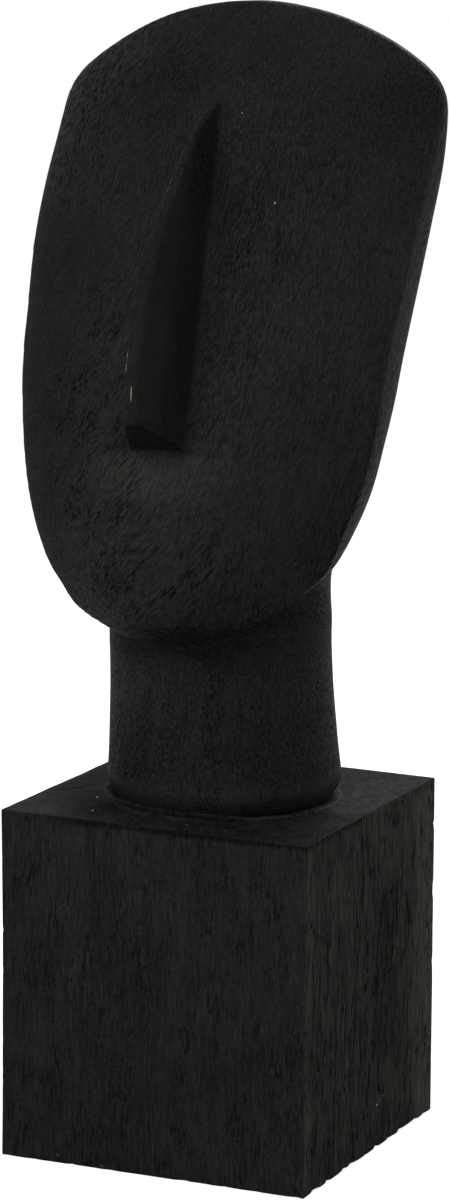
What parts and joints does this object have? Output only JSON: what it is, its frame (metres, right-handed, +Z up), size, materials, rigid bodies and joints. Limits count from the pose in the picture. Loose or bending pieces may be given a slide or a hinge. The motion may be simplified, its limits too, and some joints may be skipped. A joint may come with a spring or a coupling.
{
  "type": "abstract head sculpture",
  "caption": "Carved black wooden head with a broad leaning face, a long wedge nose and a thick round neck, standing on a block plinth.",
  "frame": {"origin": "centre of the plinth's underside", "axes": "+Z up along the neck, -Y the way the face looks, +X to the right of someone who faces the sculpture"},
  "size_m": [0.1792, 0.167, 0.5017],
  "materials": {
    "plinth_wood": "matte black paint over straight open grain, lightly scratched on top",
    "head_wood": "matte black paint over brushed and gouged grain"
  },
  "bodies": {
    "root": {"plinth": "plinth_wood", "head": "head_wood"}
  },
  "joints": []
}
